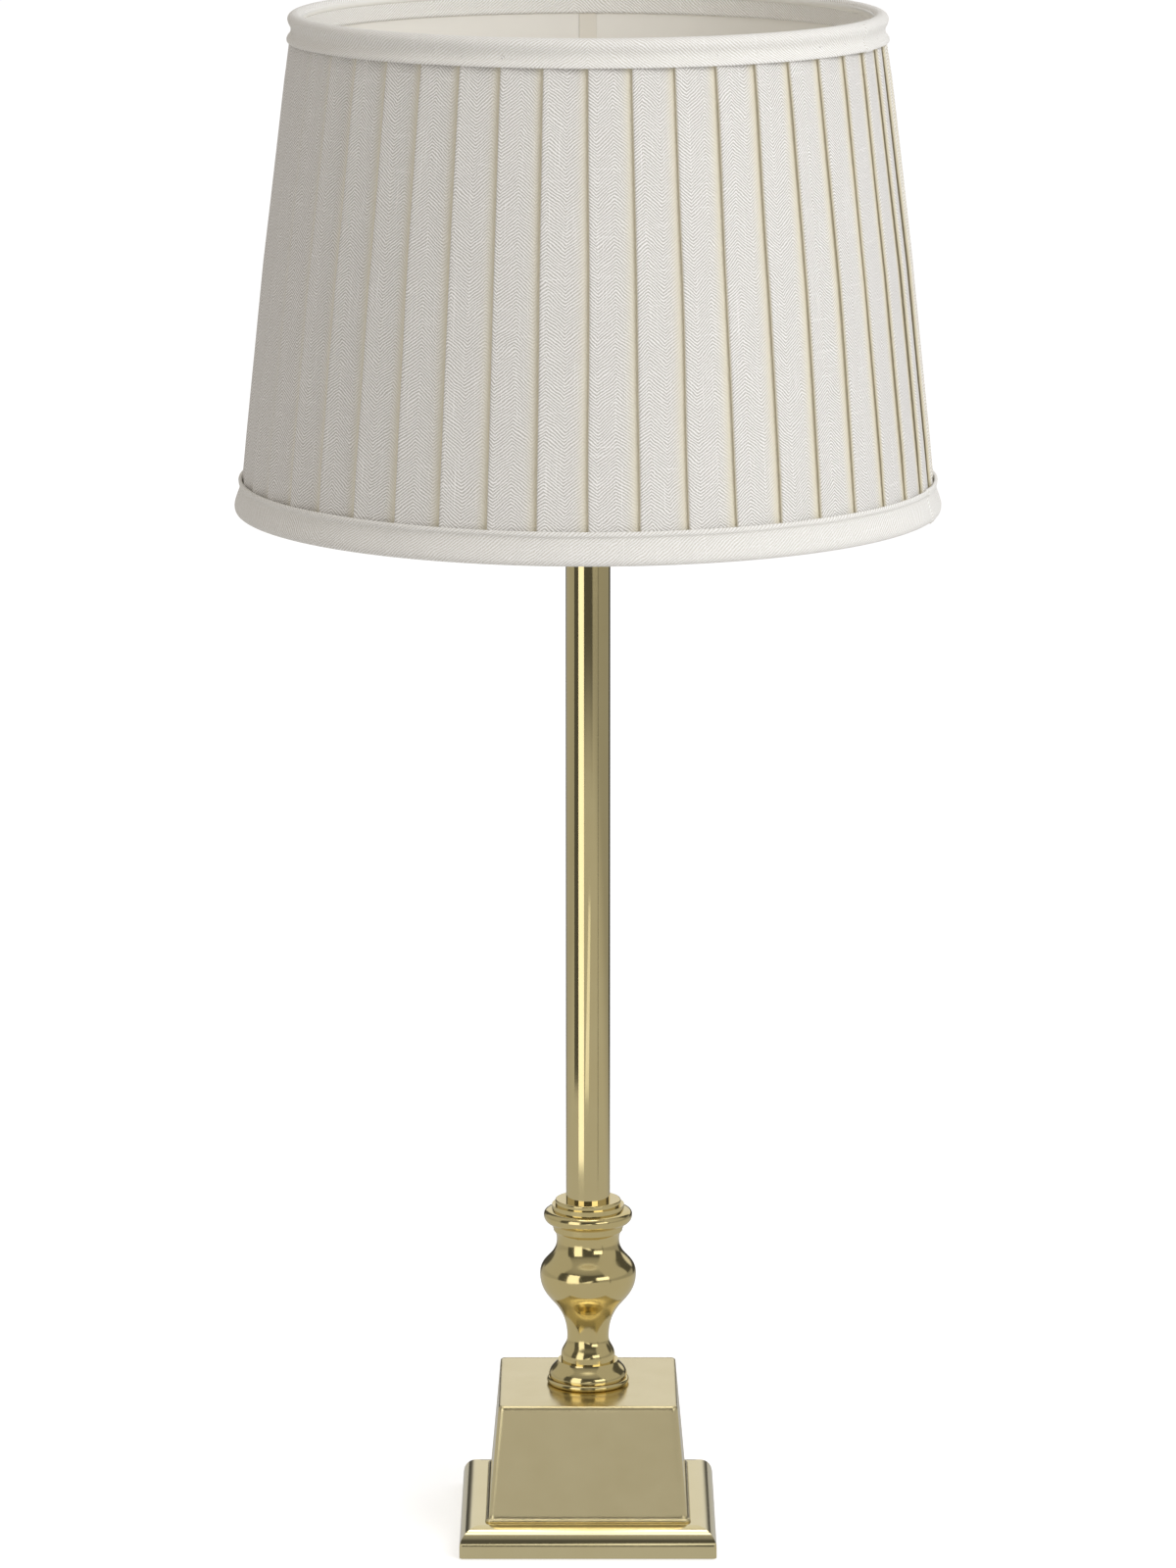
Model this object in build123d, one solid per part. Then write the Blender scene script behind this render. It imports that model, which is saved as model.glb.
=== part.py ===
from build123d import *
import os
from math import cos, pi, radians, sin

# A candlestick lamp: a square moulded base, a turned baluster and a slim column under a knife-pleated
# empire shade. Millimetres, +Z up. The lamp stands on z = 0, its column runs up the Z axis and its
# front faces -Y. One hollow rod clamps the base, the baluster and the column to the lampholder.

# ---- Driving dimensions: base ----
felt_thickness = 1.6
felt_proud = 0.5           # how far the felt stands out below the plinth's rim
cover_thickness = 2.0
cover_gap = 0.2            # between the cover board and the rim round it
plinth_half = 55.2         # half the width of the square plinth
plinth_band = 4.3          # upright band below the quarter-round moulding
plinth_round = 8.3         # radius of the quarter-round moulding
plinth_corner = 1.8        # rounding of the plinth's upright corners
plinth_rim = 2.4           # wall round the cover board
plinth_wall = 5.5          # wall round the hollow above the cover board
plinth_deck = 3.0          # thickness of the deck that the block stands on
plinth_window = 28.0       # radius of the hole in the deck
block_foot_half = 42.9     # half widths of the tapered block
block_top_half = 38.4
block_height = 50.1
block_wall = 3.0
block_top = 3.5
block_corner = 2.3         # rounding of the block's upright corners
block_edge = 1.2           # rounding of its top edge
block_bead = 1.3           # small bead round the block's foot
weight_height = 31.0
weight_gap = 1.5           # between the cast weight and the block's walls
boss_radius = 5.5          # the weight's four legs, which take the plinth screws
boss_place = 30.0          # their distance from the middle, along X and along Y
screw_radius = 2.0
screw_head_radius = 3.6
screw_head = 2.2
screw_bite = 10.0          # how far a screw goes into its leg
screw_gap = 0.2

# ---- Driving dimensions: cable bush in the block's rear wall ----
bush_height = 9.0          # axis above the plinth
bush_bore = 3.4
bush_barrel = 4.7
bush_flange = 6.2
bush_flange_thickness = 1.8
bush_lip = 5.4
bush_lip_length = 2.2
bush_gap = 0.1

# ---- Driving dimensions: rod and its nuts ----
rod_radius = 5.0
rod_bore = 3.7
rod_gap = 0.2              # round the rod in each piece that it passes through
rod_stub = 2.5             # rod left showing below the lower nut
rod_grip = 9.0             # rod inside the lampholder's neck
washer_radius = 16.0
washer_thickness = 2.0
nut_across = 15.0          # across flats
nut_thickness = 4.0

# ---- Driving dimensions: baluster ----
foot_height = 10.35
foot_bead = 2.8            # height of the half-round bead
foot_bead_radius = 17.8
foot_dome_radius = 17.0
foot_top_radius = 13.1
vase_height = 59.35
vase_base_radius = 11.7
vase_base = 2.0            # upright band at the vase's base
vase_waist_radius = 9.0
vase_waist = 10.4          # heights above the vase's base
vase_belly_radius = 20.8
vase_belly = 38.8
vase_neck_radius = 13.5
vase_neck = 54.05
vase_lip_radius = 14.9
vase_lip = 1.2             # upright band of the lip
collar_height = 12.5
collar_base_radius = 15.2
collar_base = 1.3
collar_torus_radius = 19.1
collar_torus = 5.6         # height of the widest line
collar_step_radius = 15.6
collar_step = 8.2          # heights of the two steps
collar_disc_radius = 14.2
collar_disc = 10.3
edge_round = 0.6           # rounding of turned edges

# ---- Driving dimensions: column ----
column_radius = 9.5
column_wall = 1.0
column_length = 288.5
spigot = 5.0               # length of the spigots that centre the tube
spigot_gap = 0.1
cap_radius = 11.5
cap_thickness = 4.0

# ---- Driving dimensions: lampholder ----
neck_radius = 8.0
neck_height = 7.0
holder_cap_height = 16.0
holder_radius = 19.6
holder_wall = 2.3
holder_height = 37.5
holder_spigot = 5.0
holder_gap = 0.1
holder_mouth = 15.2        # radius of the holder's open end
insert_height = 9.0
socket_radius = 13.5       # inside the screw socket
socket_wall = 0.6
socket_height = 19.0
contact_width = 6.0        # centre contact strip
contact_length = 16.0
contact_thickness = 0.5
contact_rise = 2.0
terminal_radius = 1.8
terminal_length = 5.0
terminal_place = 9.0       # distance of each terminal screw from the middle
terminal_sunk = 3.0        # how much of it sits in the insert

# ---- Driving dimensions: shade rings ----
ring_gap = 0.3             # running gap between the holder and what turns or lifts on it
ring_grip = 4.6            # width of the seat ring and the clamp ring
ring_height = 4.0
ring_seat = 8.0            # underside of the seat ring above the holder's lower edge
scallops = 12
scallop_radius = 1.6

# ---- Driving dimensions: bulb ----
bulb_play = 0.3            # gap below the bulb's tip, and round its screw cap
bulb_tip_radius = 4.5
bulb_tip = 1.2
insulator_radius = 9.0
insulator_height = 2.6
bulb_cap_height = 21.0
bulb_cap_wall = 0.5
bulb_neck = 7.0            # length of the glass neck held in the cap
bulb_neck_gap = 0.1
bulb_radius = 17.5
bulb_length = 76.0         # glass above the cap
bulb_widest = 27.0         # height of its widest line above the cap
bulb_wall = 1.0

# ---- Driving dimensions: shade ----
shade_above_column = 13.5  # shade's lower edge above the top of the tube
shade_height = 210.0
fold_bottom_radius = 146.2 # outer folds of the pleats at the lower binding's upper edge
fold_top_radius = 124.7    # and at the upper binding's lower edge
shade_belly = 0.85         # how far the sides swell at mid height
pleats = 44
pleat_depth = 2.0
cloth_thickness = 1.0
lining_thickness = 0.8
wire_radius = 1.6
wire_gap = 0.5             # round the wire inside its binding
binding_bottom = 13.5
binding_top = 11.5
binding_thickness = 0.9
binding_bottom_swell = 2.1 # how far each rolled edge stands out from the folds
binding_top_swell = 0.8
pleat_tuck = 6.0           # cloth inside each binding
fitter_thickness = 1.5
fitter_width = 9.0
fitter_gap = 0.7           # between the fitter's hole and the holder
arms = 3
arm_radius = 1.6
arm_weld = 0.3             # how deep each arm's end is welded into the wire
arm_level = 95.0           # radius where each arm turns down
arm_bend = 12.0

# ---- Levels, worked out from the sizes above ----
plinth_z = felt_proud
cover_z = felt_thickness
hollow_z = cover_z + cover_thickness
block_z = plinth_z + plinth_band + plinth_round
foot_z = block_z + block_height
vase_z = foot_z + foot_height
collar_z = vase_z + vase_height
column_z = collar_z + collar_height
column_top = column_z + column_length
cap_top = column_top + cap_thickness
holder_cap_z = cap_top + nut_thickness
holder_z = holder_cap_z + holder_cap_height
insert_z = holder_z + holder_spigot
insert_top = insert_z + insert_height
weight_top = foot_z - block_top
weight_z = weight_top - weight_height
washer_z = weight_z - washer_thickness
rod_z = washer_z - nut_thickness - rod_stub
rod_top = holder_cap_z + rod_grip
seat_z = holder_z + ring_seat
fitter_z = seat_z + ring_height
clamp_z = fitter_z + fitter_thickness
bulb_z = insert_top + contact_rise + bulb_play
insulator_z = bulb_z + bulb_tip
bulb_cap_z = insulator_z + insulator_height
bulb_glass_z = bulb_cap_z + bulb_cap_height
shade_z = column_top + shade_above_column
shade_top = shade_z + shade_height
seam_low = shade_z + binding_bottom
seam_high = shade_top - binding_top
belly_z = (seam_low + seam_high) / 2
cover_low = seam_low - pleat_tuck
cover_high = seam_high + pleat_tuck
ring_edge = binding_thickness + wire_gap + wire_radius   # from a rolled edge to its wire
rod_hole = rod_radius + rod_gap


# ---- Helpers ----
def turned(*curves):
    """Solid turned about the column from a closed outline of (radius, height) curves."""
    edges = [edge for curve in curves for edge in curve.edges()]
    return revolve(Plane.XZ * make_face(edges), Axis.Z)


def ring(inner, outer, low, height):
    """Plain turned ring."""
    top = low + height
    return turned(Polyline((inner, low), (outer, low), (outer, top), (inner, top), (inner, low)))


def rounded_square(half, height, corner):
    """Flat square with rounded corners at the given height."""
    return Plane.XY.offset(height) * RectangleRounded(2 * half, 2 * half, corner)


def hexagon(low, across, height):
    """Hexagonal nut blank standing on the given height, with the rod's hole through it."""
    blank = extrude(Plane.XY.offset(low) * RegularPolygon(across / 2, 6, major_radius=False), height)
    return blank - ring(0, rod_radius + spigot_gap, low, height)


def ogee(start, end, fullness):
    """S-curve between two outline points, upright at both; fullness is the run made by mid height."""
    middle = (start[0] + (end[0] - start[0]) * fullness, (start[1] + end[1]) / 2)
    return Spline(start, middle, end, tangents=((0, 1), (0, 1)))


def block_half(height):
    """Half width of the tapered block at a height."""
    share = (height - block_z) / block_height
    return block_foot_half + (block_top_half - block_foot_half) * share


def fold_radius(height):
    """Radius of the pleats' outer folds at a height: two straight tapers that meet in a slight belly."""
    middle = (fold_bottom_radius + fold_top_radius) / 2 + shade_belly
    half_height = belly_z - seam_low
    if height < belly_z:
        return middle + (fold_bottom_radius - middle) * (belly_z - height) / half_height
    return middle + (fold_top_radius - middle) * (height - belly_z) / half_height


# ---- Base ----
def felt_pad():
    return extrude(rounded_square(plinth_half - plinth_rim - cover_gap, 0, plinth_corner), felt_thickness)


def base_cover():
    """Board that closes the plinth from below."""
    half = plinth_half - plinth_rim - cover_gap
    return extrude(rounded_square(half, cover_z, plinth_corner), cover_thickness)


def base_plinth():
    """Square moulding: an upright band under a quarter round, mitred at its corners and open below."""
    band_top = plinth_z + plinth_band
    shoulder = plinth_half - plinth_round
    arc_middle = (shoulder + plinth_round * cos(pi / 4), band_top + plinth_round * sin(pi / 4))
    side = [
        Polyline((0, block_z), (0, plinth_z), (plinth_half, plinth_z), (plinth_half, band_top)),
        ThreePointArc((plinth_half, band_top), arc_middle, (shoulder, block_z)),
        Line((shoulder, block_z), (0, block_z)),
    ]
    half_section = make_face([edge for curve in side for edge in curve.edges()])
    section = half_section + mirror(half_section, Plane.YZ)
    along_y = extrude(Plane.XZ * section, plinth_half, both=True)
    along_x = Rot(0, 0, 90) * along_y
    outside = extrude(rounded_square(plinth_half, plinth_z, plinth_corner), block_z - plinth_z)
    recess = extrude(rounded_square(plinth_half - plinth_rim, plinth_z, plinth_corner), hollow_z - plinth_z)
    deck_z = block_z - plinth_deck
    hollow = extrude(rounded_square(plinth_half - plinth_wall, hollow_z, plinth_corner), deck_z - hollow_z)
    plinth = (along_x & along_y & outside) - recess - hollow
    plinth -= ring(0, plinth_window, deck_z, plinth_deck)
    return plinth - screw_holes(deck_z, plinth_deck)


def screw_places():
    """Middle points of the four plinth screws, seen from above."""
    return GridLocations(2 * boss_place, 2 * boss_place, 2, 2)


def screw_holes(low, height):
    """Holes for the four plinth screws through a height."""
    return [place * Pos(0, 0, low + height / 2) * Cylinder(screw_radius + screw_gap, height)
            for place in screw_places()]


def base_screws():
    """Four screws up through the plinth's deck into the weight's legs."""
    length = plinth_deck + screw_bite
    head_z = block_z - plinth_deck - screw_head
    screws = []
    for place in screw_places():
        head = Pos(0, 0, head_z + screw_head / 2) * Cylinder(screw_head_radius, screw_head)
        shank = Pos(0, 0, head_z + screw_head + length / 2) * Cylinder(screw_radius, length)
        screws.append(place * (head + shank))
    return Compound(children=screws)


def base_block():
    """Hollow tapered block with a bead at its foot, a rod hole in its top and a bush hole at the rear."""
    bead_half = block_foot_half + block_bead
    bead = extrude(rounded_square(bead_half, block_z, block_corner), block_bead)
    bead = fillet(bead.faces().sort_by(Axis.Z)[-1].edges(), block_bead * 0.9)
    body = loft([rounded_square(block_foot_half, block_z, block_corner),
                 rounded_square(block_top_half, foot_z, block_corner)], ruled=True)
    body = fillet(body.faces().sort_by(Axis.Z)[-1].edges(), block_edge)
    corner = max(block_corner - block_wall, 1.0)
    hollow = loft([rounded_square(block_half(block_z) - block_wall, block_z, corner),
                   rounded_square(block_half(weight_top) - block_wall, weight_top, corner)], ruled=True)
    block = body + bead - hollow - ring(0, rod_hole, weight_top, block_top)
    return block - bush_seat()


def base_weight():
    """Cast weight under the block's top, with four legs down to the plinth."""
    inset = block_wall + weight_gap
    low = 2 * (block_half(weight_z) - inset)
    high = 2 * (block_half(weight_top) - inset)
    body = loft([Plane.XY.offset(weight_z) * Rectangle(low, low),
                 Plane.XY.offset(weight_top) * Rectangle(high, high)], ruled=True)
    leg = weight_z - block_z
    legs = [place * Pos(0, 0, block_z + leg / 2) * Cylinder(boss_radius, leg) for place in screw_places()]
    weight = body + legs
    weight -= screw_holes(block_z, screw_bite + screw_gap)
    return weight - ring(0, rod_hole, weight_z, weight_height)


def bush_levels():
    """Places along +Y of the bush's flange seat, its lip and its inner end, and its axis height."""
    axis_z = block_z + bush_height
    seat = block_half(axis_z + bush_flange) - bush_gap
    lip = block_half(axis_z + bush_lip) - block_wall - bush_gap
    return seat, lip, lip - bush_lip_length, axis_z


def along_rear(radius, start, end, height):
    """Cylinder along +Y between two places."""
    return Pos(0, (start + end) / 2, height) * Rot(90, 0, 0) * Cylinder(radius, end - start)


def bush_seat():
    """What the bush needs out of the block: its hole and a flat seat for its flange."""
    seat, lip, _, axis_z = bush_levels()
    seat_cut = along_rear(bush_flange + bush_gap, seat, block_foot_half + block_bead, axis_z)
    return [seat_cut, along_rear(bush_barrel + bush_gap, lip - bush_lip_length, seat, axis_z)]


def cable_bush():
    """Moulded bush: a flange outside the wall, a barrel through it and a lip that holds inside."""
    seat, lip, inner, axis_z = bush_levels()
    flange = along_rear(bush_flange, seat, seat + bush_flange_thickness, axis_z)
    flange = fillet(flange.edges().sort_by(Axis.Y)[-1], bush_flange_thickness / 3)
    bush = flange + along_rear(bush_barrel, lip, seat, axis_z) + along_rear(bush_lip, inner, lip, axis_z)
    return bush - along_rear(bush_bore, inner, seat + bush_flange_thickness, axis_z)


# ---- Rod, washer and nuts ----
def threaded_rod():
    return ring(rod_bore, rod_radius, rod_z, rod_top - rod_z)


def rod_washer():
    return ring(rod_hole, washer_radius, washer_z, washer_thickness)


def rod_nut():
    return hexagon(washer_z - nut_thickness, nut_across, nut_thickness)


def check_nut():
    return hexagon(cap_top, nut_across, nut_thickness)


# ---- Baluster ----
def baluster_foot():
    """Half-round bead under a small dome."""
    bead_top = foot_z + foot_bead
    dome_z = bead_top + edge_round
    neck = foot_bead_radius - foot_bead / 2
    return turned(
        Line((rod_hole, foot_z), (neck, foot_z)),
        ThreePointArc((neck, foot_z), (foot_bead_radius, foot_z + foot_bead / 2), (neck, bead_top)),
        Polyline((neck, bead_top), (neck, dome_z), (foot_dome_radius, dome_z)),
        Spline((foot_dome_radius, dome_z), (foot_top_radius, vase_z),
               tangents=((0, 1), (-0.4, 1))),
        Polyline((foot_top_radius, vase_z), (rod_hole, vase_z), (rod_hole, foot_z)),
    )


def baluster_vase():
    """Turned vase: a short base, a slim waist, a full belly and a drawn-in neck under a lip."""
    base = (vase_base_radius, vase_z + vase_base)
    waist = (vase_waist_radius, vase_z + vase_waist)
    belly = (vase_belly_radius, vase_z + vase_belly)
    neck = (vase_neck_radius, vase_z + vase_neck)
    lip = (vase_lip_radius, collar_z - vase_lip)
    return turned(
        Polyline((rod_hole, collar_z), (rod_hole, vase_z), (vase_base_radius, vase_z), base),
        ogee(base, waist, 0.5),
        ogee(waist, belly, 0.39),
        ogee(belly, neck, 0.54),
        Spline(neck, lip, tangents=((0, 1), (1, 1))),
        Polyline(lip, (vase_lip_radius, collar_z), (rod_hole, collar_z)),
    )


def baluster_collar():
    """Cushion-shaped collar with two steps on top and a spigot that centres the column tube."""
    underside = (collar_base_radius, collar_z + collar_base)
    widest = (collar_torus_radius, collar_z + collar_torus)
    step = (collar_step_radius, collar_z + collar_step)
    disc_z = collar_z + collar_disc
    spigot_radius = column_radius - column_wall - spigot_gap
    collar = turned(
        Polyline((rod_hole, collar_z), (collar_base_radius, collar_z), underside),
        Spline(underside, widest, tangents=((1, 0.45), (0, 1))),
        Spline(widest, step, tangents=((0, 1), (-1, 0.1))),
        Polyline(step, (collar_step_radius, disc_z), (collar_disc_radius, disc_z),
                 (collar_disc_radius, column_z), (spigot_radius, column_z),
                 (spigot_radius, column_z + spigot), (rod_hole, column_z + spigot), (rod_hole, collar_z)),
    )
    rims = [edge for edge in collar.edges().filter_by(GeomType.CIRCLE)
            if abs(edge.radius - collar_disc_radius) < 0.01 and edge.center().Z > column_z - 0.01]
    return fillet(rims, edge_round)


# ---- Column ----
def column_tube():
    return ring(column_radius - column_wall, column_radius, column_z, column_length)


def column_cap():
    """Turned cap that centres the tube's upper end and carries the check nut."""
    inside = column_radius - column_wall - spigot_gap
    low = column_top - spigot
    cap = turned(Polyline(
        (rod_hole, low), (inside, low), (inside, column_top), (cap_radius, column_top),
        (cap_radius, cap_top), (rod_hole, cap_top), (rod_hole, low)))
    rims = [edge for edge in cap.edges().filter_by(GeomType.CIRCLE) if abs(edge.radius - cap_radius) < 0.01]
    return chamfer(rims, edge_round)


# ---- Lampholder ----
def lampholder_cap():
    """Domed lower half: a neck on the rod, a shoulder and a spigot inside the upper half."""
    inside = holder_radius - holder_wall - holder_gap
    shoulder_z = holder_cap_z + neck_height
    cavity = inside - holder_wall
    return turned(
        Polyline((rod_radius + spigot_gap, holder_cap_z), (neck_radius, holder_cap_z),
                 (neck_radius, shoulder_z)),
        Spline((neck_radius, shoulder_z), (holder_radius, holder_z - edge_round),
               tangents=((1, 0.15), (0, 1))),
        Polyline((holder_radius, holder_z - edge_round), (holder_radius, holder_z), (inside, holder_z),
                 (inside, insert_z), (cavity, insert_z), (cavity, holder_z),
                 (neck_radius, holder_cap_z + rod_grip + edge_round),
                 (rod_radius + spigot_gap, holder_cap_z + rod_grip + edge_round),
                 (rod_radius + spigot_gap, holder_cap_z)),
    )


def lampholder_shell():
    """Straight upper half that carries the shade rings, drawn in at its open end."""
    inside = holder_radius - holder_wall
    top = holder_z + holder_height
    shell = turned(Polyline(
        (inside, holder_z), (holder_radius, holder_z), (holder_radius, top), (holder_mouth, top),
        (holder_mouth, top - holder_wall), (inside, top - holder_wall), (inside, holder_z)))
    rims = [edge for edge in shell.edges().filter_by(GeomType.CIRCLE)
            if abs(edge.radius - holder_radius) < 0.01 and edge.center().Z > top - 0.01]
    return fillet(rims, edge_round)


def lampholder_insert():
    """Porcelain disc with a cable hole and two holes for the terminal screws."""
    radius = holder_radius - holder_wall - holder_gap
    disc = ring(rod_bore, radius, insert_z, insert_height)
    cut_z = insert_z + terminal_sunk / 2
    cuts = [place * Pos(0, 0, cut_z) * Cylinder(terminal_radius, terminal_sunk) for place in terminals()]
    return disc - cuts


def terminals():
    return PolarLocations(terminal_place, 2)


def terminal_screws():
    """Two terminal screws in the insert's underside."""
    low = insert_z + terminal_sunk - terminal_length
    screws = [place * Pos(0, 0, low + terminal_length / 2) * Cylinder(terminal_radius, terminal_length)
              for place in terminals()]
    return Compound(children=screws)


def screw_socket():
    """Thin screwed liner that takes the bulb's cap."""
    return ring(socket_radius, socket_radius + socket_wall, insert_top, socket_height)


def centre_contact():
    """Bent strip on the insert that the bulb's tip rests on."""
    half = contact_length / 2
    foot = half / 2
    crown = foot / 2
    shift = contact_thickness / 2
    right = [(0, contact_rise - contact_thickness), (crown, contact_rise - contact_thickness), (foot, 0),
             (half, 0), (half, contact_thickness), (foot + shift, contact_thickness),
             (crown + shift, contact_rise), (0, contact_rise)]
    left = [(-x, z) for x, z in reversed(right[1:-1])]
    strip = make_face(Polyline(*right, *left, close=True).edges())
    return Pos(0, 0, insert_top) * extrude(Plane.XZ * strip, contact_width / 2, both=True)


# ---- Shade rings on the lampholder ----
def grip_ring(low):
    """Screwed ring with scallops round its rim for the fingers."""
    inner = holder_radius + ring_gap
    outer = inner + ring_grip
    body = ring(inner, outer, low, ring_height)
    cuts = [place * Pos(0, 0, low + ring_height / 2) * Cylinder(scallop_radius, ring_height)
            for place in PolarLocations(outer + scallop_radius * 0.55, scallops)]
    return body - cuts


def seat_ring():
    return grip_ring(seat_z)


def clamp_ring():
    return grip_ring(clamp_z)


# ---- Bulb ----
def bulb_contact():
    return ring(0, bulb_tip_radius, bulb_z, bulb_tip)


def bulb_insulator():
    """Glass insulator that widens from the tip to the screw cap."""
    return turned(Polyline((0, insulator_z), (bulb_tip_radius, insulator_z),
                           (insulator_radius, bulb_cap_z), (0, bulb_cap_z), (0, insulator_z)))


def bulb_cap():
    """Thin screwed cap, drawn in below to the insulator."""
    outer = socket_radius - bulb_play
    inner = outer - bulb_cap_wall
    shoulder = bulb_cap_z + outer - insulator_radius
    return turned(Polyline(
        (insulator_radius - bulb_cap_wall, bulb_cap_z), (insulator_radius, bulb_cap_z), (outer, shoulder),
        (outer, bulb_glass_z), (inner, bulb_glass_z), (inner, shoulder + bulb_cap_wall),
        (insulator_radius - bulb_cap_wall, bulb_cap_z + bulb_cap_wall),
        (insulator_radius - bulb_cap_wall, bulb_cap_z)))


def bulb_outline(inset):
    """Outline of the glass from the neck's foot to the tip, moved in by an inset."""
    neck = socket_radius - bulb_play - bulb_cap_wall - bulb_neck_gap - inset
    radius = bulb_radius - inset
    widest_z = bulb_glass_z + bulb_widest
    tip_z = bulb_glass_z + bulb_length - 2 * inset
    return [
        Line((neck, bulb_glass_z - bulb_neck), (neck, bulb_glass_z)),
        ogee((neck, bulb_glass_z), (radius, widest_z), 0.62),
        Spline((radius, widest_z), (0, tip_z), tangents=((0, 1), (-1, 0.3))),
    ]


def bulb_envelope():
    """Candle-shaped glass with its neck down in the cap."""
    outside = bulb_outline(0)
    inside = bulb_outline(bulb_wall)
    ends = [Line(outside[0] @ 0, inside[0] @ 0), Line(outside[-1] @ 1, inside[-1] @ 1)]
    return turned(*outside, *inside, *ends)


# ---- Shade ----
def ring_radius(height):
    """Radius of a frame wire's middle: in line with the lining."""
    return fold_radius(height) - pleat_depth - cloth_thickness - lining_thickness / 2


def frame_wire(height):
    middle = Plane.XZ * Pos(ring_radius(height), height) * Circle(wire_radius)
    return revolve(middle, Axis.Z)


def shade_bottom_ring():
    return frame_wire(shade_z + ring_edge)


def shade_top_ring():
    return frame_wire(shade_top - ring_edge)


def shade_lining():
    """Stiff lining, from wire to wire, that the cloth is fixed to."""
    gap = pleat_depth + cloth_thickness
    low = shade_z + ring_edge + wire_radius
    high = shade_top - ring_edge - wire_radius
    levels = (low, belly_z, high)
    outside = [(fold_radius(z) - gap, z) for z in levels]
    inside = [(fold_radius(z) - gap - lining_thickness, z) for z in reversed(levels)]
    return turned(Polyline(*outside, *inside, outside[0]))


def pleat_outline(height):
    """Saw-toothed outline: each panel falls from its raised fold to tuck under the next one's."""
    points = []
    for pleat in range(pleats):
        start = 2 * pi * pleat / pleats
        end = 2 * pi * (pleat + 1) / pleats
        high = fold_radius(height)
        low = high - pleat_depth
        points.append((high * cos(start), high * sin(start)))
        points.append((low * cos(end), low * sin(end)))
    return Plane.XY.offset(height) * make_face(Polyline(*points, close=True).edges())


def shade_cover():
    """Knife-pleated cloth: saw-toothed outside, smooth against the lining."""
    levels = (cover_low, belly_z, cover_high)
    outside = loft([pleat_outline(z) for z in levels], ruled=True)
    gap = pleat_depth + cloth_thickness
    inside = [(fold_radius(z) - gap, z) for z in levels]
    return outside - turned(Polyline((0, cover_low), *inside, (0, cover_high), (0, cover_low)))


def binding(seam, edge, swell):
    """Cloth tape folded over a rim, from its seam outside, round the wire, to the same height inside."""
    turn = 1 if edge > seam else -1
    wire_z = edge - turn * ring_edge
    wire = ring_radius(wire_z)
    stack = pleat_depth + cloth_thickness + lining_thickness
    widest = fold_radius(wire_z) + swell
    inside = wire - wire_radius - wire_gap - binding_thickness
    roll = (widest - inside) / 2
    roll_z = edge - turn * roll
    seam_out = (fold_radius(seam) + binding_thickness, seam)
    seam_in = (fold_radius(seam) - stack - binding_thickness, seam)
    tape = make_face([
        Line(seam_out, (widest, roll_z)),
        ThreePointArc((widest, roll_z), (inside + roll, edge), (inside, roll_z)),
        Line((inside, roll_z), seam_in),
        Line(seam_in, seam_out),
    ])
    past = seam - turn * binding_thickness
    cloth_end = seam + turn * pleat_tuck
    lining_end = wire_z - turn * wire_radius
    lining_face = pleat_depth + cloth_thickness
    core = make_face(Polyline(
        (fold_radius(past), past), (fold_radius(cloth_end), cloth_end),
        (fold_radius(cloth_end) - lining_face, cloth_end),
        (fold_radius(lining_end) - lining_face, lining_end),
        (fold_radius(lining_end) - stack, lining_end), (fold_radius(past) - stack, past),
        close=True))
    channel = Pos(wire, wire_z) * RegularPolygon(wire_radius + wire_gap, 8, major_radius=False, rotation=22.5)
    return revolve(Plane.XZ * (tape - core - channel), Axis.Z)


def top_binding():
    return binding(seam_high, shade_top, binding_top_swell)


def bottom_binding():
    """Lower binding, slit where the fitter's arms reach the wire."""
    slits = [arm(place, binding_thickness / 2) for place in range(arms)]
    return binding(seam_low, shade_z, binding_bottom_swell) - slits


def arm(number, room=0.0):
    """One wire arm: level out from the fitter, then down to the lower wire. Room widens it for a slit."""
    wire_z = shade_z + ring_edge
    level_z = fitter_z + fitter_thickness / 2
    start = holder_radius + fitter_gap + fitter_width - arm_radius
    end = ring_radius(wire_z) - wire_radius + arm_weld
    path = FilletPolyline((start, 0, level_z), (arm_level, 0, level_z), (end, 0, wire_z), radius=arm_bend)
    section = Plane(origin=(start, 0, level_z), z_dir=(1, 0, 0)) * Circle(arm_radius + room)
    return Rot(0, 0, 90 + 360 / arms * number) * sweep(section, path)


def shade_fitter():
    """Pressed ring that sits between the shade rings, with arms welded to the lower wire."""
    hole = holder_radius + fitter_gap
    fitter = ring(hole, hole + fitter_width, fitter_z, fitter_thickness)
    for number in range(arms):
        fitter += arm(number)
    return fitter - shade_bottom_ring()


# ---- Pieces ----
pieces = [
    felt_pad, base_cover, base_plinth, base_block, base_weight, base_screws, cable_bush,
    threaded_rod, rod_washer, rod_nut, baluster_foot, baluster_vase, baluster_collar,
    column_tube, column_cap, check_nut, lampholder_cap, lampholder_shell, lampholder_insert,
    terminal_screws, screw_socket, centre_contact, seat_ring, clamp_ring,
    bulb_contact, bulb_insulator, bulb_cap, bulb_envelope,
    shade_fitter, shade_bottom_ring, shade_top_ring, shade_lining, shade_cover,
    top_binding, bottom_binding,
]

os.makedirs("parts", exist_ok=True)
for piece in pieces:
    export_step(piece(), f"parts/{piece.__name__}.step")
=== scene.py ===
"""A candlestick lamp: square brass base, turned baluster and slim column, pleated linen shade.

Metres, +Z up, front towards -Y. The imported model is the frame. Each section dresses one piece, or
one group of like pieces, in the order in which the lamp is put together.
"""
import math

import bpy
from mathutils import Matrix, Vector, noise


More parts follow.
